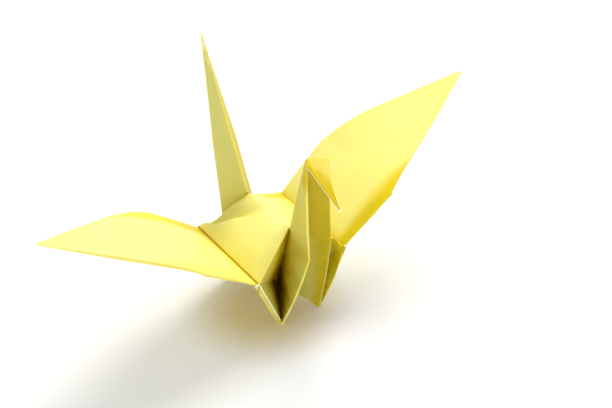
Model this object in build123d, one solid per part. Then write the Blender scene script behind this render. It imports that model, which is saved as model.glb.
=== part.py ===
from build123d import *
import os
from math import asin, cos, radians, sin, tan

# Folded paper crane from one square sheet. Millimetres, +Z up, beak towards +X,
# left wing towards +Y, origin on the table under the middle of the bird.

# Sheet
sheet_side = 150.0
paper_thickness = 0.10
ply_pitch = 0.16              # centre to centre of two plies that lie folded together
raw_gap = 0.15                # half the gap between the raw edges under each wing
flap_bend_share = 0.6         # where the turned corner crosses the crease from shoulder to spine
fold_reach = 0.12             # how far each ply of a nested fold stands out past the one inside it

# Flat folding: heights are measured up from the crotch of the folded base
wing_fold_height = 15.5       # level at which the wings fold down
wing_corner_height = 35.5     # where the wing edge turns to the narrowed corner
narrow_angle = 11.25          # fold that narrows neck and tail

# Opened body
shoulder_spread = 27.3        # near wing fold to far wing fold
shoulder_height = 18.4        # table to wing folds
hump_height = 25.9            # table to the middle of the sheet

# Wings: a steep root, a bend and a flatter outer run
wing_root_slope = 41.0
wing_tip_slope = 21.5
wing_bend_start = 12.0
wing_bend_end = 30.0
wing_bend_steps = 6
wing_tip_trim = 0.8           # blunt end of the wings

# Neck, head and tail: Vs of several plies, nearly closed at their blunt tips
limb_steps = 3                # cuts between the toes, the kink and the tip
tip_trim = 1.5
tip_slant = 0.5               # least sine of half the opening
tip_ply_share = 0.75          # spacing of the plies at the tips, against ply_pitch
tip_ply_count = 4.0           # plies by which the tail swells at its tip
beak_ply_count = 8.0
brow_ply_count = 2.0          # plies by which the neck opens to take the head
spine_ply_count = 0.7         # free space, in plies, between the spine and the edges inside it

# Neck and head
neck_start = 1.9              # foot of the spine, forward of the middle
neck_lean_angle = 20.0
neck_fold = 71.5              # beak to neck fold, along the spine
neck_toe = 72.9               # beak to toe, along the free edge
neck_toe_gap = 12.6           # between the two front toes
neck_kink = 50.4              # beak to the kink, along the free edge
neck_kink_gap = 8.2
neck_twist_angle = 25.0       # turn of the neck about its spine at the kink, to the left
head_length = 19.3
head_edge = 18.1
head_gap = 5.1
head_twist_angle = 12.0
head_turn_angle = -6.0        # beak to the left of straight ahead
head_droop_angle = 13.0

# Tail
tail_start = 0.7
tail_lean_angle = 23.7
tail_fold = 71.5
tail_toe = 72.2
tail_toe_gap = 13.5
tail_flare = 32.0             # tip to where the tail stands most open
tail_flare_gap = 7.3

# Worked out from the sheet
half_side = sheet_side / 2
crown_height = half_side * tan(radians(22.5))
shoulder_half = crown_height - wing_fold_height
corner_half = crown_height * (1 - wing_corner_height / half_side)
wing_length = half_side - wing_fold_height
corner_run = wing_corner_height - wing_fold_height
crown = Vector(0, 0, hump_height)
DOWN = Vector(0, 0, -1)


class Section:
    """Cut across a neck, head or tail: the spine and the folded edge on each side."""

    def __init__(self, spine, edges):
        self.spine = spine
        self.edges = edges
        self.middle = (edges[-1] + edges[1] - spine * 2).normalized()

    def across(self, side):
        return self.edges[side] - self.spine

    def outside(self, side, below, above):
        """Direction that stands off the plies towards both neighbouring cuts."""
        normals = [unit_normal(self.spine, self.edges[side], other.edges[side], side)
                   for other in (below, above) if other is not self]
        return mitre(normals[0], normals[-1])

    def slant(self, side):
        """Sine of half the opening of the V."""
        across = self.across(side).normalized()
        return max((across - self.middle * across.dot(self.middle)).length, tip_slant)


class Limb:
    """Neck or tail: a V of folded paper with its spine on the middle plane of the bird."""

    def __init__(self, end, start, lean, fold, toe, toe_gap):
        self.end = end
        self.fold = fold
        self.toe = toe
        self.toe_gap = toe_gap
        self.opening = asin(toe_gap / 2 / (toe * sin(radians(narrow_angle))))
        self.up = Vector(end * sin(radians(lean)), 0, cos(radians(lean)))
        self.out = Vector(end * cos(radians(lean)), 0, -sin(radians(lean)))
        self.base = Vector(end * start, 0, 0)
        self.base = Vector(end * start, 0, -self.edge(toe, toe_gap, 1).Z)

    def spine(self, from_tip):
        return self.base + self.up * (self.fold - from_tip)

    def bisector(self, twist):
        """Middle direction of the V, turned to the left about the spine."""
        return self.out * cos(radians(twist)) + Vector(0, sin(radians(twist)), 0)

    def edge(self, from_tip, gap, side, twist=0):
        width = from_tip * sin(radians(narrow_angle))
        opening = asin(gap / 2 / width)
        root = self.spine(from_tip * cos(radians(narrow_angle)))
        across = Vector(0, cos(radians(twist)), 0) - self.out * sin(radians(twist))
        return root + self.bisector(twist) * width * cos(opening) + across * (side * gap / 2)

    def section(self, from_tip, gap, twist=0, spine_from_tip=None):
        """Cut across the limb: its spine and its two folded edges, right one first."""
        along = spine_from_tip or from_tip * cos(radians(narrow_angle))
        edges = {side: self.edge(from_tip, gap, side, twist) for side in (-1, 1)}
        return Section(self.spine(along), edges)

    def gusset_climb(self):
        """Length of spine that the gusset's valley follows before it turns back to the crown."""
        flat = crown_height + half_side - self.fold
        away = self.base - crown
        return (flat**2 - away.dot(away)) / (2 * (flat + self.up.dot(away)))


class Sheet:
    """Middle surface of the paper: named corner points and the flat panels between them."""

    def __init__(self):
        self.points = {}
        self.panels = []

    def panel(self, *names):
        ring = [n for i, n in enumerate(names) if n != names[i - 1]]
        if len(ring) > 2:
            self.panels.append(ring)


def unit_normal(a, b, c, side):
    """Normal of a triangle, turned to the near or the far side of the bird."""
    normal = (b - a).cross(c - a).normalized()
    return normal if normal.Y * side > 0 else normal * -1


def mitre(first, second):
    """Offset direction at a crease, so that plies on both sides of it keep their distance."""
    return (first + second) * (1 / (1 + first.dot(second)))


def between(a, b, share):
    return a + (b - a) * share


def wing_section(along):
    """Run out, rise and slope of the wing at a distance along the paper from its fold."""
    slope = radians(wing_root_slope)
    radius = (wing_bend_end - wing_bend_start) / radians(wing_root_slope - wing_tip_slope)
    straight = min(along, wing_bend_start)
    run = straight * cos(slope)
    rise = straight * sin(slope)
    turned = max(0, min(along, wing_bend_end) - wing_bend_start) / radius
    run += radius * (sin(slope) - sin(slope - turned))
    rise += radius * (cos(slope - turned) - cos(slope))
    outer = max(0, along - wing_bend_end)
    slope -= turned
    return run + outer * cos(slope), rise + outer * sin(slope), slope


def wing_half_width(along):
    if along < corner_run:
        return between(shoulder_half, corner_half, along / corner_run)
    return corner_half * (wing_length - along) / (wing_length - corner_run)


def wing_stations():
    bend = wing_bend_end - wing_bend_start
    steps = [wing_bend_start + bend * i / wing_bend_steps for i in range(wing_bend_steps + 1)]
    return sorted(set([0.0, corner_run, wing_length - wing_tip_trim] + steps))


# Places of the plies in the pressed stack, counted outwards from the fold at the toes.
# A flap is the part of a ply that the narrowing fold has turned over.
BODY = {"gusset": 0.5, "hump": 1.5, "top": 2.5, "under": 3.5,
        "under_flap": 4.5, "top_flap": 5.5, "hump_flap": 6.5, "gusset_flap": 7.5}
LIMB = {"gusset": -0.5, "under": -1.5, "under_flap": -2.5, "gusset_flap": -3.5}
HEAD = {"gusset_flap": -4.5, "under_flap": -5.5, "under": -6.5, "gusset": -7.5}

# How many plies each nested fold wraps at the narrowed edge, and at the toes.
EDGE_WRAP = {"top": 1, "top_flap": 1, "hump": 2, "hump_flap": 2, "gusset": 3, "gusset_flap": 3}
TOE_WRAP = {"gusset": 0, "under": 1, "under_flap": 2, "gusset_flap": 3}
BROW_WRAP = {"gusset_flap": 0, "under_flap": 1.6, "under": 3.2, "gusset": 4.8}


class Quarter:
    """One quarter of the sheet: half a wing, half a side of the body and half of a limb."""

    def __init__(self, sheet, side, limb):
        self.sheet = sheet
        self.side = side
        self.limb = limb
        self.forward = Vector(limb.end, 0, 0)
        self.hinge = Vector(0, side * shoulder_spread / 2, shoulder_height)
        self.shoulder = self.hinge + self.forward * shoulder_half
        self.toe = limb.edge(limb.toe, limb.toe_gap, side)
        self.upper = unit_normal(self.hinge, self.shoulder, limb.base, side)
        self.lower = unit_normal(self.shoulder, self.toe, limb.base, side)

    def name(self, ply, point):
        """Panels that run on into the next quarter share the points on their common line."""
        if point == "crown":
            return point
        end = 0 if ply in ("top", "hump") and point.startswith("mid") else self.limb.end
        side = 0 if ply == "gusset" and point.startswith("mid") else self.side
        return ply, point, side, end

    def mark(self, ply, point, place, direction, layer, shift=Vector()):
        self.sheet.points[self.name(ply, point)] = place + direction * layer * ply_pitch + shift

    def panel(self, *corners):
        self.sheet.panel(*[self.name(ply, point) for ply, point in corners])

    def ply(self, ply, *points):
        self.panel(*[(ply, point) for point in points])

    def fold(self, first, second, *points):
        """Narrow strips that join two plies along a fold through the given points."""
        for a, b in zip(points, points[1:]):
            self.panel((first, a), (first, b), (second, b), (second, a))

    def corner(self, point, *plies):
        """Small panel that closes the sheet where four folds meet."""
        self.panel(*[(ply, point) for ply in plies])

    def wing(self):
        stations = wing_stations()
        corner = stations.index(corner_run)
        flap_root = self.flap_root()
        for i, along in enumerate(stations):
            run, rise, slope = wing_section(along)
            down = Vector(0, self.side * sin(slope), -cos(slope))
            if i == 0:
                down = mitre(down, self.upper)
            middle = self.hinge + Vector(0, self.side * run, rise)
            edge = middle + self.forward * wing_half_width(along)
            for ply in ("top", "under", "under_flap", "top_flap"):
                wrap = EDGE_WRAP.get(ply, 0) if i <= corner else 0
                self.mark(ply, f"edge{i}", edge, down, BODY[ply], self.forward * wrap * fold_reach)
            for ply in ("top", "under"):
                open_edge = self.forward * (raw_gap if ply == "under" else 0)
                self.mark(ply, f"mid{i}", middle + open_edge, down, BODY[ply])
            for ply in ("under_flap", "top_flap"):
                width = between(flap_root, corner_half, along / corner_run)
                self.mark(ply, f"flap{i}", middle + self.forward * width, down, BODY[ply])
        for i in range(len(stations) - 1):
            for ply in ("top", "under"):
                self.ply(ply, f"mid{i}", f"edge{i}", f"edge{i + 1}", f"mid{i + 1}")
            edge = (f"edge{i}", f"edge{i + 1}")
            if i >= corner:
                self.fold("top", "under", *edge)
                continue
            flap = (f"flap{i}", f"flap{i + 1}" if i + 1 < corner else f"edge{corner}")
            for ply in ("under_flap", "top_flap"):
                self.ply(ply, *edge, flap[1], flap[0])
            self.fold("under_flap", "top_flap", *flap)
            self.fold("under", "under_flap", *edge)
            self.fold("top", "top_flap", *edge)
        self.corner(f"edge{corner}", "under", "under_flap", "top_flap", "top")

    def flap_root(self):
        """Distance from the middle line at which the flap's free edge crosses the wing fold."""
        climb = (wing_fold_height - self.flap_height()) / (wing_corner_height - self.flap_height())
        return corner_half * climb

    def flap_height(self):
        """Height on the middle line that the turned corner of the sheet reaches."""
        return half_side / cos(radians(22.5)) - half_side

    def body(self):
        limb = self.limb
        base_level = limb.fold - half_side
        toe_level = limb.toe * cos(radians(narrow_angle)) - half_side
        seam = mitre(self.upper, self.lower)
        crotch = between(self.hinge, limb.base, wing_fold_height / (wing_fold_height - base_level))
        turned = between(self.hinge, limb.base,
                         (wing_fold_height - self.flap_height()) / (wing_fold_height - base_level))
        elbow = between(self.shoulder, self.toe, wing_fold_height / (wing_fold_height - toe_level))
        bend = between(self.shoulder, limb.base, wing_fold_height / (wing_fold_height - base_level))
        crease = between(self.shoulder, limb.base, flap_bend_share)

        for ply, layer in BODY.items():
            edge_shift = self.forward * EDGE_WRAP.get(ply, 0) * fold_reach
            self.mark(ply, "edge0", self.shoulder, seam, layer, edge_shift)
            self.mark(ply, "elbow", elbow, self.lower, layer, edge_shift)
            self.mark(ply, "bend", bend, seam, layer)
            self.mark(ply, "crease", crease, seam, layer)
            self.mark(ply, "turned", turned, self.upper, layer)
        for ply in ("top", "hump"):
            self.mark(ply, "mid_crotch", crotch, self.upper, BODY[ply])
        self.mark("hump", "mid0", self.hinge, self.upper, BODY["hump"])
        self.sheet.points["crown"] = crown
        for ply, layer in LIMB.items():
            wrap = TOE_WRAP.get(ply, 0)
            shift = DOWN * wrap * fold_reach
            edge_wrap = self.forward * (fold_reach if ply.startswith("gusset") else 0)
            self.mark(ply, "edge_foot", self.toe, self.lower, BODY[ply], shift + edge_wrap)
            if ply != "gusset":
                self.mark(ply, "spine_foot", limb.base, seam, BODY[ply], shift)
        valley = limb.base + limb.up * limb.gusset_climb()
        spread = BODY["gusset"] * ply_pitch / sin(limb.opening)
        self.sheet.points[self.name("gusset", "mid_valley")] = valley - limb.out * spread
        self.sheet.points[self.name("gusset", "mid_foot")] = limb.base - limb.out * spread

        self.ply("under", "mid0", "edge0", "spine_foot")
        self.ply("under", "edge0", "edge_foot", "spine_foot")
        self.ply("under_flap", "turned", "flap0", "edge0", "spine_foot")
        self.ply("under_flap", "edge0", "edge_foot", "spine_foot")
        self.ply("top", "mid0", "edge0", "bend", "mid_crotch")
        self.ply("top", "edge0", "elbow", "bend")
        self.ply("top_flap", "turned", "flap0", "edge0", "crease")
        self.ply("top_flap", "edge0", "elbow", "crease")
        self.ply("hump", "mid0", "edge0", "bend", "mid_crotch")
        self.ply("hump", "edge0", "elbow", "bend")
        self.ply("hump", "crown", "edge0", "mid0")
        self.ply("hump_flap", "turned", "edge0", "crease")
        self.ply("hump_flap", "edge0", "elbow", "crease")
        self.ply("gusset", "crown", "edge0", "mid_valley")
        self.ply("gusset", "mid_valley", "edge0", "mid_foot")
        self.ply("gusset", "mid_foot", "edge0", "elbow", "edge_foot")
        self.ply("gusset_flap", "turned", "edge0", "spine_foot")
        self.ply("gusset_flap", "spine_foot", "edge0", "elbow", "edge_foot")

        self.fold("under", "under_flap", "edge0", "edge_foot")
        self.fold("gusset", "gusset_flap", "edge0", "elbow", "edge_foot")
        self.fold("top", "top_flap", "edge0", "elbow")
        self.fold("hump", "hump_flap", "edge0", "elbow")
        self.fold("top", "hump", "mid_crotch", "bend", "elbow")
        self.fold("top_flap", "hump_flap", "turned", "crease", "elbow")
        self.fold("hump_flap", "gusset_flap", "edge0", "turned")
        self.fold("under_flap", "gusset_flap", "turned", "spine_foot")
        self.fold("under_flap", "top_flap", "flap0", "turned")
        self.panel(("hump", "crown"), ("hump", "edge0"), ("gusset", "edge0"))
        self.corner("edge0", "hump", "gusset", "gusset_flap", "hump_flap")
        self.corner("elbow", "top", "top_flap", "hump_flap", "hump")
        self.corner("turned", "under_flap", "top_flap", "hump_flap", "gusset_flap")

    def ring(self, name, section, outside, layers, spread=0.0, squeeze=1.0, turn=None):
        """Points of every ply across a neck, head or tail: its spine and its folded edge.

        Plies that lie inside the V stop short of the spine, where it has no room for them.
        """
        width = section.across(self.side).length
        across = section.across(self.side).normalized()
        slant = section.slant(self.side)
        for ply, place in layers.items():
            layer = (place + spread) * squeeze
            shift = turn[0] * turn[1][ply] * fold_reach if turn else Vector()
            edge_wrap = across * (fold_reach if ply.startswith("gusset") else 0)
            edge = section.edges[self.side] + shift + edge_wrap
            self.mark(ply, f"edge_{name}", edge, outside[self.side], layer)
            if ply == "gusset":
                both = mitre(outside[-1], outside[1])
                self.mark(ply, f"mid_{name}", section.spine + shift, both, layer)
            else:
                room = max(0.6, spine_ply_count - layer) * ply_pitch / slant
                start = section.spine + across * min(room, width * 0.6) + shift
                self.mark(ply, f"spine_{name}", start, outside[self.side], layer)

    def rings(self, name, sections):
        """Rings along a limb, joined to one another, with the plies lying inside the V."""
        for i, (section, spread, turn) in enumerate(sections):
            below, above = sections[max(0, i - 1)][0], sections[min(i + 1, len(sections) - 1)][0]
            outside = {side: section.outside(side, below, above) for side in (-1, 1)}
            squeeze = 1.0 if turn or i < len(sections) - 1 else tip_ply_share
            self.ring(f"{name}{i}", section, outside, LIMB, spread, squeeze, turn)
            if i:
                self.join_rings(f"{name}{i - 1}", f"{name}{i}")

    def head(self, brow, last):
        """The head is the end of the neck, turned back down inside itself."""
        droop = radians(head_droop_angle)
        ahead = Vector(cos(radians(head_turn_angle)), sin(radians(head_turn_angle)), 0)
        along = ahead * cos(droop) - Vector(0, 0, sin(droop))
        above = ahead * sin(droop) + Vector(0, 0, cos(droop))
        beak = brow.spine + along * (head_length - tip_trim)
        beak_edge = beak + above * tip_trim * sin(radians(narrow_angle))
        tip = Section(beak, {-1: beak_edge, 1: beak_edge})
        sideways = {side: brow.outside(side, brow, tip) for side in (-1, 1)}
        self.ring("head", brow, sideways, HEAD, brow_ply_count, turn=(self.limb.up, BROW_WRAP))
        self.ring("beak", tip, sideways, HEAD, beak_ply_count, tip_ply_share)
        self.reverse_fold(last, "head")
        self.join_rings("head", "beak")

    def join_rings(self, first, last):
        edge = (f"edge_{first}", f"edge_{last}")
        for ply in LIMB:
            inner = "mid" if ply == "gusset" else "spine"
            self.ply(ply, f"{inner}_{first}", edge[0], edge[1])
            self.ply(ply, f"{inner}_{first}", edge[1], f"{inner}_{last}")
        self.fold("under", "under_flap", *edge)
        self.fold("gusset", "gusset_flap", *edge)
        self.fold("under_flap", "gusset_flap", f"spine_{first}", f"spine_{last}")

    def reverse_fold(self, before, after):
        """Every ply turns round between two rings that share their base corners."""
        for ply in LIMB:
            inner = "mid" if ply == "gusset" else "spine"
            self.ply(ply, f"edge_{before}", f"edge_{after}", f"{inner}_{after}", f"{inner}_{before}")
        for point, first, second in (("edge", "under", "under_flap"), ("edge", "gusset", "gusset_flap"),
                                     ("spine", "under_flap", "gusset_flap")):
            self.panel((first, f"{point}_{before}"), (first, f"{point}_{after}"),
                       (second, f"{point}_{after}"), (second, f"{point}_{before}"))


def orient(panels):
    """Turn the panels so that neighbours agree which face of the paper is up."""
    sides = {}
    for number, ring in enumerate(panels):
        for a, b in zip(ring, ring[1:] + ring[:1]):
            sides.setdefault(frozenset((a, b)), []).append((number, (a, b)))
    turned = {0: panels[0]}
    waiting = [0]
    while waiting:
        ring = turned[waiting[0]]
        waiting.pop(0)
        for a, b in zip(ring, ring[1:] + ring[:1]):
            for number, _ in sides[frozenset((a, b))]:
                if number in turned:
                    continue
                other = panels[number]
                forward = any(pair == (a, b) for pair in zip(other, other[1:] + other[:1]))
                turned[number] = other[::-1] if forward else other
                waiting.append(number)
    return [turned[number] for number in sorted(turned)], sides


def ring_normal(points):
    total = Vector()
    for a, b in zip(points[1:], points[2:]):
        total += (a - points[0]).cross(b - points[0])
    return total.normalized()


def paper_faces(points):
    """Flat triangles across a panel, which may be slightly twisted."""
    return [Face(Wire.make_polygon([points[0], a, b])) for a, b in zip(points[1:], points[2:])]


def mitre_all(normals):
    """Offset that stands as nearly as it can one unit off every panel round a corner."""
    offset = sum(normals, Vector()).normalized()
    for _ in range(60):
        for normal in normals:
            offset += normal * (0.5 * (1 - offset.dot(normal)))
    return offset * min(1, 1.8 / offset.length)


def thicken(sheet):
    """Solid of the sheet: both faces of the paper and its cut edges."""
    panels, sides = orient(sheet.panels)
    normals = {}
    for ring in panels:
        normal = ring_normal([sheet.points[n] for n in ring])
        for n in ring:
            normals.setdefault(n, []).append(normal)
    layers = {}
    for n, around in normals.items():
        shift = mitre_all(around) * (paper_thickness / 2)
        layers[n] = (sheet.points[n] + shift, sheet.points[n] - shift)
    faces = []
    for ring in panels:
        faces += paper_faces([layers[n][0] for n in ring])
        faces += paper_faces([layers[n][1] for n in ring])
        for a, b in zip(ring, ring[1:] + ring[:1]):
            if len(sides[frozenset((a, b))]) == 1:
                faces += paper_faces([layers[a][0], layers[b][0], layers[b][1], layers[a][1]])
    return Solid(Shell(faces))


def neck_sections():
    """From the toes up to the brow: each cut, how far its plies spread, and where they turn."""
    cuts = []
    for i in range(2 * limb_steps + 1):
        low, high = min(i, limb_steps) / limb_steps, max(0, i - limb_steps) / limb_steps
        from_tip = between(between(neck_toe, neck_kink, low), head_edge, high)
        gap = between(between(neck_toe_gap, neck_kink_gap, low), head_gap, high)
        twist = between(between(0, neck_twist_angle, low), head_twist_angle, high)
        throat = neck_kink * cos(radians(narrow_angle))
        foot = between(between(neck_fold, throat, low), head_length, high)
        cuts.append((neck.section(from_tip, gap, twist, foot), brow_ply_count * high, None))
    cuts[0] = (cuts[0][0], 0, (DOWN, TOE_WRAP))
    cuts[-1] = (cuts[-1][0], brow_ply_count, (neck.up, BROW_WRAP))
    return cuts


def tail_sections():
    """From the toes up to the point, where every ply meets."""
    cuts = [(tail.section(tail_toe, tail_toe_gap, 0, tail_fold), 0, (DOWN, TOE_WRAP))]
    for i in range(limb_steps + 1):
        share = i / limb_steps
        from_tip = between(tail_flare, tip_trim, share)
        gap = between(tail_flare_gap, 0, share)
        cuts.append((tail.section(from_tip, gap), tip_ply_count * share**2, None))
    return cuts


neck = Limb(1, neck_start, neck_lean_angle, neck_fold, neck_toe, neck_toe_gap)
tail = Limb(-1, tail_start, tail_lean_angle, tail_fold, tail_toe, tail_toe_gap)
sheet = Sheet()
sections = {neck: neck_sections(), tail: tail_sections()}
for side in (-1, 1):
    for limb in (neck, tail):
        quarter = Quarter(sheet, side, limb)
        quarter.wing()
        quarter.body()
        quarter.rings("ring", sections[limb])
        quarter.reverse_fold("foot", "ring0")
        if limb is neck:
            quarter.head(sections[limb][-1][0], f"ring{len(sections[limb]) - 1}")

crane = thicken(sheet)
box = crane.bounding_box()
crane = Pos(-box.center().X, -box.center().Y, -box.min.Z) * crane
os.makedirs("parts", exist_ok=True)
export_step(crane, "parts/folded_crane.step")
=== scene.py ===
from math import cos, pi, radians, sin

import bmesh
import bpy
from mathutils import Matrix, Vector, noise
from mathutils.bvhtree import BVHTree


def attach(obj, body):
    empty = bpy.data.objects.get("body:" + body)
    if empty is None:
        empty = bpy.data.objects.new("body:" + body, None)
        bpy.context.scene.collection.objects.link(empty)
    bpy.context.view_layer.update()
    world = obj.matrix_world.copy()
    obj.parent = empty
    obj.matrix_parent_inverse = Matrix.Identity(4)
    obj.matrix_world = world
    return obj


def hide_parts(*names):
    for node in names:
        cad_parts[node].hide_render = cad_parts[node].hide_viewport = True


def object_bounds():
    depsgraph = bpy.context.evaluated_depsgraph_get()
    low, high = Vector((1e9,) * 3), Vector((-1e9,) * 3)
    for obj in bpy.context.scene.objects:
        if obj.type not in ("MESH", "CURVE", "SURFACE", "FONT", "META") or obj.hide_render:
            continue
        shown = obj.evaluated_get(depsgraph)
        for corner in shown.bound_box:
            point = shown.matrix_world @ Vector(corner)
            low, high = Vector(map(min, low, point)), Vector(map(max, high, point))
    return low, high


# Folded paper crane on a white table. Metres, beak towards +X, near wing towards -Y.

# Colours of the paper: two that mottle the open faces, painted shade inside the folds and darker
# painted shade on head, throat and tail, painted shadow in deep slits, painted shade on the crease
# line, light that comes through it, and pale edges, partly rubbed and partly a painted highlight
PAPER = (0.95, 0.935, 0.25)
PAPER_PALE = (0.97, 0.96, 0.35)
PAPER_PAINTED_SHADE = (0.91, 0.73, 0.0)
PAPER_PAINTED_DARK_SHADE = (0.72, 0.58, 0.0)
PAINTED_RECESS_SHADOW = (0.20, 0.08, 0.004)
PAINTED_CREASE_SHADE = (0.62, 0.50, 0.02)
GLOW = (1.0, 0.93, 0.0)
GLOW_SHARE = 0.38
PALE_EDGE_AND_HIGHLIGHT = (0.98, 0.98, 0.86)

# The table: as the camera sees it, with a painted golden shadow near the body, and as it throws
# light back on the paper
FLOOR = (0.50, 0.50, 0.495)
FLOOR_PAINTED_SHADOW = (0.33, 0.24, 0.06)
FLOOR_BOUNCE = (0.88, 0.88, 0.86)
FLOOR_LIFT = 0.56
FLOOR_HALF = 3.0
UNDER_BODY = (0.002, -0.006, 0.0)

# Places in the frame: middle of the body, wing folds and the top of the hump
CENTRE = -0.00343
HALF_SPREAD = 0.01365
HINGE = 0.01916
CROWN = 0.02666
BODY_EDGE = HALF_SPREAD - 0.001
WING_START = HALF_SPREAD + 0.002

# Wings: arch across, bowed back edge, longer far tip, and a lower ply that hangs open
ARCH_SLOPE = 0.02
ARCH_CURVE = 1.6
BOW_START = 0.030
BOW_SPAN = 0.035
TIP_PLACE = 0.065
NEAR_BOW = 0.0015
FAR_BOW = 0.0031
FAR_TIP_RISE = 0.0014
FAR_TIP_STRETCH = 0.0016
UNDER_PLY_DEPTH = 0.00012
UNDER_PLY_GAP = 0.0001
NEAR_SAG = 0.0007
FAR_SAG = 0.0004

# Body: puffed out, with a dent behind the ridge
PUFF = 0.0006
RIDGE_END = 0.01557
DENT = 0.0017
FAR_DENT_SHARE = 0.15
ROUND_PASSES = 14

# Throat, brow and tail
THROAT_OPEN = 0.0022
THROAT_TOP = 0.0547
THROAT_FADE = 0.0115
KINK_HEIGHT = 0.0237
BROW = (0.0187, 0.003, 0.0553)
BROW_REACH = 0.019
BROW_SPREAD = 0.0021
BROW_DROP = 0.0017
HEAD_START = 0.0140
HEAD_FULL = 0.0165
TAIL_START = 0.013
TAIL_DROP = 0.0019
TAIL_LEAN = 0.0004

# Waviness of the paper: long waves, and shorter ripples on them
WAVE = 0.00020
WAVE_SCALE = 55
WAVE_SEED = (3.1, 0.7, 9.2)
RIPPLE_SCALE = 140
RIPPLE_SHARE = 0.4

# Mesh: longest edge, widest fold strip, and half the width of the pale line along an edge
MESH_STEP = 0.0022
STRIP_WIDTH = 0.00034
RIM_RADIUS = 0.00013

# Folds, in degrees: the least that stays crisp, the least that gets a pale line, and the most
# that is smoothed within a short way of the top of the hump
FOLD_TURN = 7
RIM_TURN = 40
GENTLE_TURN = 15
GENTLE_REACH = 0.008

# Rays that tell how shut in a place is
RAY_START = 0.00015
RAY_REACH = 0.022

# Painted lines on the paper: shadow in the slit at each wing fold, and shade and highlight along the
# near wing's crease
SLIT_OFFSET = 0.00005
SLIT_WIDTH = 0.0003
CREASE_LINE_WIDTH = 0.00028

# How far the paper may pass the box of the solid, for the longer far wing tip
SLACK = (0.0, FAR_TIP_STRETCH, 0.0)

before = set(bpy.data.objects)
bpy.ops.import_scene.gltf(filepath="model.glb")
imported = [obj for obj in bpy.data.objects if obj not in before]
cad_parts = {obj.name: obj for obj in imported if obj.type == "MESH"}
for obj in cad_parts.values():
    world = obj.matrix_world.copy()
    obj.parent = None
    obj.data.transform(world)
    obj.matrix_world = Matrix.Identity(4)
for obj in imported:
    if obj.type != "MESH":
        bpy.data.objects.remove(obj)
cad_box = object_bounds()
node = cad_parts["folded_crane"]


def shader(material):
    material.use_nodes = True
    tree = material.node_tree
    tree.nodes.clear()
    return tree, tree.nodes.new("ShaderNodeOutputMaterial")


def calculate(tree, operation, first, second=None):
    """A maths node on sockets or numbers."""
    part = tree.nodes.new("ShaderNodeMath")
    part.operation = operation
    for number, value in enumerate((first, second)):
        if isinstance(value, bpy.types.NodeSocket):
            tree.links.new(value, part.inputs[number])
        elif value is not None:
            part.inputs[number].default_value = value
    return part.outputs[0]


def fade(tree, value, start, end, first=0.0, last=1.0, soft=False):
    """Goes from the first to the last number while the value goes from start to end."""
    ramp = tree.nodes.new("ShaderNodeMapRange")
    ramp.interpolation_type = "SMOOTHSTEP" if soft else "LINEAR"
    ramp.inputs["From Min"].default_value = start
    ramp.inputs["From Max"].default_value = end
    ramp.inputs["To Min"].default_value = first
    ramp.inputs["To Max"].default_value = last
    tree.links.new(value, ramp.inputs["Value"])
    return ramp.outputs["Result"]


def mix_colour(tree, amount, under, over):
    """Lay a colour over a colour or over the socket of another mix."""
    mix = tree.nodes.new("ShaderNodeMix")
    mix.data_type = "RGBA"
    tree.links.new(amount, mix.inputs["Factor"])
    if isinstance(under, bpy.types.NodeSocket):
        tree.links.new(under, mix.inputs[6])
    else:
        mix.inputs[6].default_value = (*under, 1)
    mix.inputs[7].default_value = (*over, 1)
    return mix.outputs[2]


def stain(tree, tone, name, colour):
    """Lay a colour over the paper where the mesh attribute of that name asks for it."""
    amount = tree.nodes.new("ShaderNodeAttribute")
    amount.attribute_name = name
    return mix_colour(tree, amount.outputs["Fac"], tone, colour)


def line(tree, value, at, width):
    """One along a thin line where the value passes a place, and nought away from it."""
    away = calculate(tree, "SUBTRACT", value, at)
    return fade(tree, calculate(tree, "ABSOLUTE", away), 0.0, width, 1.0, 0.0, soft=True)


def paint_fold_lines(tree, tone, place):
    """Painted shadow in the slit at each wing fold, and painted shade with a painted highlight
    beside it along the crease in the middle of the near wing.
    """
    axes = tree.nodes.new("ShaderNodeSeparateXYZ")
    tree.links.new(place.outputs["Object"], axes.inputs[0])
    out = calculate(tree, "ABSOLUTE", axes.outputs["Y"])
    # Painted shadow in the slit along each wing fold
    slit_shadow = line(tree, out, HALF_SPREAD + SLIT_OFFSET, SLIT_WIDTH)
    tone = mix_colour(tree, calculate(tree, "MULTIPLY", slit_shadow, 0.8), tone, PAINTED_RECESS_SHADOW)
    fading = fade(tree, axes.outputs["Y"], -0.044, -0.026)
    outside = calculate(tree, "LESS_THAN", axes.outputs["Y"], -HALF_SPREAD - 0.0008)
    near_wing = calculate(tree, "MULTIPLY", fading, outside)
    # A painted dark line of shade on the crease, and a painted highlight beside it
    for offset, strength, colour in ((0.0, 0.7, PAINTED_CREASE_SHADE), (0.0005, 0.8, PALE_EDGE_AND_HIGHLIGHT)):
        crease_line = line(tree, axes.outputs["X"], CENTRE + offset, CREASE_LINE_WIDTH)
        crease_line = calculate(tree, "MULTIPLY", crease_line, near_wing)
        tone = mix_colour(tree, calculate(tree, "MULTIPLY", crease_line, strength), tone, colour)
    return tone


def grain(tree, place, scale, detail):
    """Noise over the paper."""
    noise_node = tree.nodes.new("ShaderNodeTexNoise")
    noise_node.inputs["Scale"].default_value = scale
    noise_node.inputs["Detail"].default_value = detail
    tree.links.new(place.outputs["Object"], noise_node.inputs["Vector"])
    return noise_node.outputs["Fac"]


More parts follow.
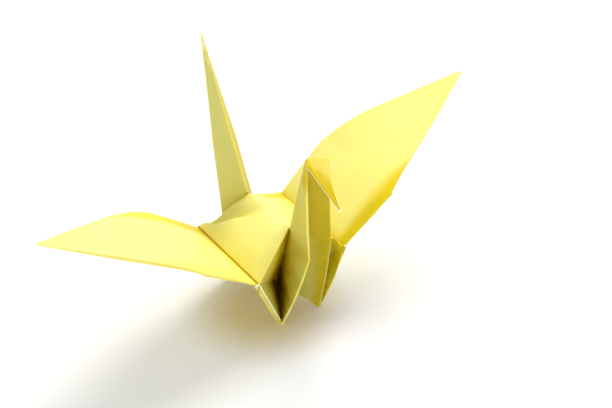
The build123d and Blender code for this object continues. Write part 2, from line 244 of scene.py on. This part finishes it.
def paper_material():
    """Mottled yellow paper that lets some light through, with painted shade and shadow in the folds
    and slits, and painted shade and highlight along the near wing's crease.
    """
    material = bpy.data.materials.new("yellow_paper")
    tree, out = shader(material)
    new, link = tree.nodes.new, tree.links.new

    place = new("ShaderNodeTexCoord")
    tone = mix_colour(tree, grain(tree, place, 90.0, 4.0), PAPER, PAPER_PALE)
    # Painted shade inside the folds, darker painted shade on the head, throat and tail, and painted
    # shadow in the slits, all from mesh attributes
    tone = stain(tree, tone, "painted_shade", PAPER_PAINTED_SHADE)
    tone = stain(tree, tone, "painted_dark_shade", PAPER_PAINTED_DARK_SHADE)
    tone = stain(tree, tone, "recess_shadow", PAINTED_RECESS_SHADOW)
    # Painted shadow in the wing fold slits, and painted shade and highlight along the near wing's
    # crease
    tone = paint_fold_lines(tree, tone, place)

    bump = new("ShaderNodeBump")
    bump.inputs["Strength"].default_value = 0.15
    bump.inputs["Distance"].default_value = 0.0001
    link(grain(tree, place, 1800.0, 5.0), bump.inputs["Height"])

    face = new("ShaderNodeBsdfPrincipled")
    face.inputs["Roughness"].default_value = 0.45
    face.inputs["Specular IOR Level"].default_value = 0.35
    link(tone, face.inputs["Base Color"])
    link(bump.outputs["Normal"], face.inputs["Normal"])
    glow = new("ShaderNodeBsdfTranslucent")
    glow.inputs["Color"].default_value = (*GLOW, 1)
    blend = new("ShaderNodeMixShader")
    blend.inputs["Fac"].default_value = GLOW_SHARE
    link(face.outputs["BSDF"], blend.inputs[1])
    link(glow.outputs["BSDF"], blend.inputs[2])
    link(blend.outputs["Shader"], out.inputs["Surface"])
    return material


def edge_material():
    """Folded and cut edges, paler partly from rubbed fibres and partly as a painted highlight."""
    material = bpy.data.materials.new("paper_edge")
    tree, out = shader(material)
    face = tree.nodes.new("ShaderNodeBsdfPrincipled")
    face.inputs["Base Color"].default_value = (*PALE_EDGE_AND_HIGHLIGHT, 1)
    face.inputs["Roughness"].default_value = 0.6
    tree.links.new(face.outputs["BSDF"], out.inputs["Surface"])
    return material


def floor_material():
    """White table with a painted golden shadow near the body. The camera sees it fade to plain white
    far away.
    """
    material = bpy.data.materials.new("table_white")
    tree, out = shader(material)
    new, link = tree.nodes.new, tree.links.new

    place = new("ShaderNodeTexCoord")
    away = new("ShaderNodeVectorMath")
    away.operation = "DISTANCE"
    away.inputs[1].default_value = UNDER_BODY
    link(place.outputs["Object"], away.inputs[0])
    # Painted golden shadow on the table, strongest under the body
    near = fade(tree, away.outputs["Value"], 0.006, 0.027, 0.75, 0.0, soft=True)
    shadowed_floor = mix_colour(tree, near, FLOOR, FLOOR_PAINTED_SHADOW)

    base = new("ShaderNodeBsdfDiffuse")
    link(shadowed_floor, base.inputs["Color"])
    lift = new("ShaderNodeEmission")
    link(shadowed_floor, lift.inputs["Color"])
    lift.inputs["Strength"].default_value = FLOOR_LIFT
    both = new("ShaderNodeAddShader")
    link(base.outputs["BSDF"], both.inputs[0])
    link(lift.outputs["Emission"], both.inputs[1])
    white = new("ShaderNodeEmission")
    edge = new("ShaderNodeMixShader")
    link(fade(tree, away.outputs["Value"], 0.14, 0.34), edge.inputs["Fac"])
    link(both.outputs["Shader"], edge.inputs[1])
    link(white.outputs["Emission"], edge.inputs[2])

    bounce = new("ShaderNodeBsdfDiffuse")
    bounce.inputs["Color"].default_value = (*FLOOR_BOUNCE, 1)
    path = new("ShaderNodeLightPath")
    seen = new("ShaderNodeMixShader")
    link(path.outputs["Is Camera Ray"], seen.inputs["Fac"])
    link(bounce.outputs["BSDF"], seen.inputs[1])
    link(edge.outputs["Shader"], seen.inputs[2])
    link(seen.outputs["Shader"], out.inputs["Surface"])
    return material


def share(value):
    return min(1, max(0, value))


def smooth_step(low, high, value):
    part = share((value - low) / (high - low))
    return part * part * (3 - 2 * part)


def refine(work, reach):
    """Halve long edges until the sheet is fine enough to bend."""
    for _ in range(6):
        long = [edge for edge in work.edges if edge.calc_length() > reach]
        if not long:
            break
        bmesh.ops.subdivide_edges(work, edges=long, cuts=1, use_grid_fill=True)
        bmesh.ops.triangulate(work, faces=[face for face in work.faces if len(face.verts) > 4])


def soften_hump(work, crown):
    """Round the top of the body, which is puffed out, but keep the crease towards the tail."""
    weights = {}
    for vert in work.verts:
        away = vert.co - crown
        weight = 1 - smooth_step(0.003, 0.0095, away.length)
        crease = smooth_step(0.0005, 0.003, -away.x) * (1 - smooth_step(0.0003, 0.0022, abs(away.y)))
        weight *= 1 - 0.93 * crease
        if weight > 0.01 and vert.co.z > HINGE + 0.0012:
            weights[vert] = weight
    for _ in range(ROUND_PASSES):
        moved = {}
        for vert, weight in weights.items():
            ring = [edge.other_vert(vert).co for edge in vert.link_edges]
            middle = sum(ring, Vector()) / len(ring)
            moved[vert] = vert.co.lerp(middle, 0.5 * weight)
        for vert, place in moved.items():
            vert.co = place


def bend_wing(shift, place, x, out, wing, depth):
    """Wings arch across, and their lower ply hangs a little open towards the front edge."""
    near = place.y < 0
    shift.z += wing * (-ARCH_SLOPE * abs(x) - ARCH_CURVE * x * x)
    span = share((abs(place.y) - BOW_START) / BOW_SPAN)
    bow = 4 * span * (1 - span) * smooth_step(-0.006, 0.018, -x)
    shift.z += (NEAR_BOW if near else FAR_BOW) * bow
    shift.z += FAR_TIP_RISE * smooth_step(0.045, TIP_PLACE, place.y)
    shift.y += FAR_TIP_STRETCH * smooth_step(BOW_START, TIP_PLACE, place.y)
    if depth > UNDER_PLY_DEPTH:
        shift.z -= UNDER_PLY_GAP * wing
        open_front = smooth_step(0.0, 0.009, x) * smooth_step(0.012, 0.026, out)
        shift.z -= (NEAR_SAG if near else FAR_SAG) * open_front


def bend_body(shift, place, x, out):
    """The body is puffed out, with a dent behind the ridge from the wing fold to the crown."""
    on_body = smooth_step(0.0, 0.004, -out) * smooth_step(HINGE, HINGE + 0.003, place.z)
    on_body *= 1 - smooth_step(0.008, 0.012, abs(x))
    shift.z += PUFF * on_body
    side = 1 if place.y > 0 else -1
    behind = -RIDGE_END * side * place.y / HALF_SPREAD - x
    dent = smooth_step(0.0, 0.0012, behind) * (1 - smooth_step(0.003, 0.008, behind))
    dent *= 1 if place.y < 0 else FAR_DENT_SHARE
    across = smooth_step(0.001, 0.005, abs(place.y)) * smooth_step(0.0005, 0.004, -out)
    shift.z -= DENT * dent * across * smooth_step(HINGE, HINGE + 0.002, place.z)


def bend_throat(shift, place):
    """The far side of the throat and of the brow stands more open than the near side."""
    far_side = smooth_step(0.0005, 0.005, place.y) * (1 - smooth_step(0.0095, 0.0130, place.y))
    throat = share((THROAT_TOP - place.z) / THROAT_FADE) * min(1, place.z / KINK_HEIGHT)
    throat *= far_side * smooth_step(0.0035, 0.0085, place.x)
    brow = max(0, 1 - (place - Vector(BROW)).length / BROW_REACH)
    brow *= share(place.y / BROW[1]) * smooth_step(HEAD_START, HEAD_FULL, place.x)
    shift.y += max(THROAT_OPEN * throat, BROW_SPREAD * brow)
    shift.z -= BROW_DROP * brow


def bend_tail(shift, place, x):
    """The tail curls over a little at its end."""
    if x < -TAIL_START:
        rise = smooth_step(0.034, 0.074, place.z)
        shift.z -= TAIL_DROP * rise
        shift.x += TAIL_LEAN * rise


def bend(place, depth):
    """Small bends of real paper. Depth is how far a point lies under the top of the wing."""
    x = place.x - CENTRE
    out = abs(place.y) - HALF_SPREAD
    wing = smooth_step(0.001, 0.012, out)
    shift = Vector()
    bend_wing(shift, place, x, out, wing, depth)
    bend_body(shift, place, x, out)
    bend_throat(shift, place)
    bend_tail(shift, place, x)
    wave = noise.noise(place * WAVE_SCALE + Vector(WAVE_SEED))
    wave += RIPPLE_SHARE * noise.noise(place * RIPPLE_SCALE)
    return place + shift + Vector((0.3, 0.3, 1)) * (WAVE * wave * (0.4 + 0.6 * wing))


def depths(work):
    """How far each point of the wings lies under their upper face."""
    tree = BVHTree.FromBMesh(work)
    found = {}
    for vert in work.verts:
        found[vert] = 0.0
        if abs(vert.co.y) < HALF_SPREAD + 0.001:
            continue
        # A little inside the outline, so that rays at the edge still meet the upper face.
        above = Vector((CENTRE + (vert.co.x - CENTRE) * 0.97, vert.co.y * 0.999, 0.2))
        hit = tree.ray_cast(above, Vector((0, 0, -1)))[0]
        if hit:
            found[vert] = hit.z - vert.co.z
    return found


def dome(normal):
    """Directions spread over the half sphere round a normal."""
    side = normal.orthogonal().normalized()
    ahead = normal.cross(side)
    for ring, (tilt, count) in enumerate(((18, 4), (45, 8), (70, 10))):
        for i in range(count):
            turn = 2 * pi * (i + 0.5 * ring) / count
            flat = side * cos(turn) + ahead * sin(turn)
            yield normal * cos(radians(tilt)) + flat * sin(radians(tilt))


def enclosed(tree, place, normal):
    """How shut in a place is, from nought on an open face to one deep inside a fold."""
    start = place + normal * RAY_START
    walls = []
    for ray in dome(normal):
        far = tree.ray_cast(start, ray, RAY_REACH)[3]
        walls.append(1 - far / RAY_REACH if far else 0)
    return sum(walls) / len(walls)


def tones(mesh):
    """Painted shade: deepen the colour inside the folds, and by place on the head, throat, front and
    tail; painted shadow deep in the slits.
    """
    tree = BVHTree.FromPolygons([v.co for v in mesh.vertices], [p.vertices for p in mesh.polygons])
    painted_shade = mesh.attributes.new("painted_shade", "FLOAT", "POINT")
    painted_dark_shade = mesh.attributes.new("painted_dark_shade", "FLOAT", "POINT")
    recess_shadow = mesh.attributes.new("recess_shadow", "FLOAT", "POINT")
    for number, vert in enumerate(mesh.vertices):
        x, y, z = vert.co
        shut = enclosed(tree, vert.co, vert.normal)
        head = smooth_step(HEAD_START, HEAD_FULL, x) * smooth_step(0.046, 0.049, z)
        tail = smooth_step(TAIL_START, 0.016, -x) * smooth_step(0.1, 0.5, vert.normal.y)
        throat = smooth_step(0.0075, 0.0105, x) * smooth_step(-0.001, 0.001, y)
        front = 0.35 * smooth_step(0.006, 0.010, x)
        # Painted shade: more where a point is shut in, half as much on the wings, and by place on
        # the tail, throat and front
        cover = (1.7 * shut - 0.05) * (0.5 if abs(y) > WING_START else 1)
        painted_shade.data[number].value = min(1, max(cover, 0.9 * tail, throat, front))
        # Darker painted shade on the head, throat and tail
        painted_dark_shade.data[number].value = max(head, 0.6 * throat, 0.5 * tail)
        fold = abs(abs(y) - HALF_SPREAD) < 0.0012 and abs(z - HINGE) < 0.004
        plain = fold or head > 0.3 or abs(y) > BODY_EDGE
        # Painted shadow where a point is deeply shut in, except at the wing folds, on the head and
        # outside the body
        recess_shadow.data[number].value = 0 if plain else smooth_step(0.5, 0.85, shut)


def prism(work, start, end, radius):
    """A thin closed bar from one point to another."""
    along = end - start
    if along.length < 1e-6:
        return
    side = along.orthogonal().normalized() * radius
    ahead = along.cross(side).normalized() * radius
    turns = (side, ahead, -side, -ahead)
    first, last = [[work.verts.new(foot + turn) for turn in turns] for foot in (start, end)]
    for i in range(4):
        j = (i + 1) % 4
        work.faces.new((first[i], first[j], last[j], last[i])).material_index = 1
    for cap in (first[::-1], last):
        work.faces.new(cap).material_index = 1


def rub_and_highlight_edges(work):
    """Lay a thin pale ridge along the folded and cut edges of the body, neck, head and tail,
    coloured partly as rubbed paper and partly as a painted highlight.
    """
    tree = BVHTree.FromBMesh(work)
    for face in work.faces:
        middle = face.calc_center_median()
        on_hump = abs(middle.y) < BODY_EDGE and abs(middle.x - CENTRE) < 0.0085
        if face.material_index == 1 and (on_hump or enclosed(tree, middle, face.normal) > 0.5):
            face.material_index = 0
    rims = []
    for edge in work.edges:
        kinds = {face.material_index for face in edge.link_faces}
        if kinds == {0, 1} and edge.calc_face_angle(0) > radians(RIM_TURN):
            rims.append([vert.co.copy() for vert in edge.verts])
    for start, end in rims:
        prism(work, start, end, RIM_RADIUS)


def mark_strips(work):
    """Give the narrow strips of folds and cut edges their own material, except on the wings."""
    for face in work.faces:
        longest = max(edge.calc_length() for edge in face.edges)
        narrow = 2 * face.calc_area() / longest < STRIP_WIDTH
        on_wing = abs(face.calc_center_median().y) > WING_START
        face.material_index = 1 if narrow and not on_wing else 0
        face.smooth = True


def mark_folds(work):
    """Remember which edges are folds, before they are divided."""
    sharp = work.edges.layers.float.new("fold")
    for edge in work.edges:
        fold = len(edge.link_faces) == 2 and edge.calc_face_angle(0) > radians(FOLD_TURN)
        crease = all(abs(v.co.x - CENTRE) < 0.0002 and v.co.y < -HALF_SPREAD for v in edge.verts)
        edge[sharp] = 1.0 if fold or crease else 0.0
    return sharp


def shade_folds(work, sharp, crown):
    """Folds stay crisp, apart from gentle ones on the rounded top of the body."""
    for edge in work.edges:
        rounded = (sum((v.co for v in edge.verts), Vector()) / 2 - crown).length < GENTLE_REACH
        turn = edge.calc_face_angle(0) if len(edge.link_faces) == 2 else 0
        edge.smooth = edge[sharp] < 0.5 or rounded and turn < radians(GENTLE_TURN)


def within_box(place):
    """Keep a point inside the box of the solid, apart from the slack."""
    low, high = cad_box
    return [min(high[i] + SLACK[i], max(low[i] - SLACK[i], place[i])) for i in range(3)]


def folded_paper():
    """The folded sheet, taken from the frame and divided finely enough to bend softly."""
    mesh = node.data.copy()
    mesh.name = "folded_paper"
    piece = bpy.data.objects.new("folded_paper", mesh)
    bpy.context.scene.collection.objects.link(piece)
    work = bmesh.new()
    work.from_mesh(mesh)
    bmesh.ops.remove_doubles(work, verts=work.verts, dist=1e-7)
    bmesh.ops.recalc_face_normals(work, faces=work.faces)
    mark_strips(work)
    sharp = mark_folds(work)
    refine(work, MESH_STEP)
    crown = Vector((CENTRE, 0, CROWN))
    soften_hump(work, crown)
    under = depths(work)
    for vert in work.verts:
        vert.co = within_box(bend(vert.co, under[vert]))
    shade_folds(work, sharp, crown)
    rub_and_highlight_edges(work)
    for vert in work.verts:
        vert.co = within_box(vert.co)
    mesh.materials.clear()
    mesh.materials.append(paper_material())
    mesh.materials.append(edge_material())
    work.to_mesh(mesh)
    work.free()
    tones(mesh)
    return piece


def stage():
    mesh = bpy.data.meshes.new("table")
    half = FLOOR_HALF
    mesh.from_pydata([(-half, -half, 0), (half, -half, 0), (half, half, 0), (-half, half, 0)],
                     [], [(0, 1, 2, 3)])
    table = bpy.data.objects.new("table", mesh)
    bpy.context.scene.collection.objects.link(table)
    mesh.materials.append(floor_material())


def area_lamp(name, place, target, size, power, colour):
    data = bpy.data.lights.new(name, "AREA")
    data.shape = "DISK"
    data.size = size
    data.energy = power
    data.color = colour
    lamp = bpy.data.objects.new(name, data)
    lamp.location = place
    lamp.rotation_euler = (Vector(target) - Vector(place)).to_track_quat("-Z", "Y").to_euler()
    bpy.context.scene.collection.objects.link(lamp)


def background(tree, strength):
    """A white world of some strength."""
    part = tree.nodes.new("ShaderNodeBackground")
    part.inputs["Color"].default_value = (1, 1, 1, 1)
    part.inputs["Strength"].default_value = strength
    return part.outputs["Background"]


def lights():
    """A broad lamp behind the far wing, and soft light from all round."""
    area_lamp("key", (-0.34, 0.50, 0.82), (0, 0, 0.02), 0.60, 11.5, (1.0, 0.98, 0.95))
    world = bpy.data.worlds.new("studio")
    bpy.context.scene.world = world
    world.use_nodes = True
    tree = world.node_tree
    tree.nodes.clear()
    out = tree.nodes.new("ShaderNodeOutputWorld")
    path = tree.nodes.new("ShaderNodeLightPath")
    seen = tree.nodes.new("ShaderNodeMixShader")
    tree.links.new(path.outputs["Is Camera Ray"], seen.inputs["Fac"])
    tree.links.new(background(tree, 0.90), seen.inputs[1])
    tree.links.new(background(tree, 1.0), seen.inputs[2])
    tree.links.new(seen.outputs["Shader"], out.inputs["Surface"])


def camera():
    """The photograph's view. Azimuth turns from +X towards -Y."""
    azimuth = radians(32.674)
    elevation = radians(35.884)
    roll = radians(-2.455)
    target = Vector((0.00257, 0.008325, 0.029938))
    distance = 0.3366
    back = Vector((cos(azimuth) * cos(elevation), -sin(azimuth) * cos(elevation), sin(elevation)))
    level = Vector((0, 0, 1)).cross(back).normalized()
    upright = back.cross(level)
    right = level * cos(roll) + upright * sin(roll)
    up = upright * cos(roll) - level * sin(roll)
    turn = Matrix((right, up, back)).transposed().to_4x4()
    data = bpy.data.cameras.new("camera")
    data.lens = 73.36
    data.sensor_width = 36.0
    data.clip_start = 0.01
    view = bpy.data.objects.new("camera", data)
    view.matrix_world = Matrix.Translation(target + back * distance) @ turn
    bpy.context.scene.collection.objects.link(view)
    bpy.context.scene.camera = view


camera()
lights()
stage()
paper = folded_paper()
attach(paper, "root")
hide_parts("folded_crane")
bpy.context.scene.view_settings.view_transform = "Standard"
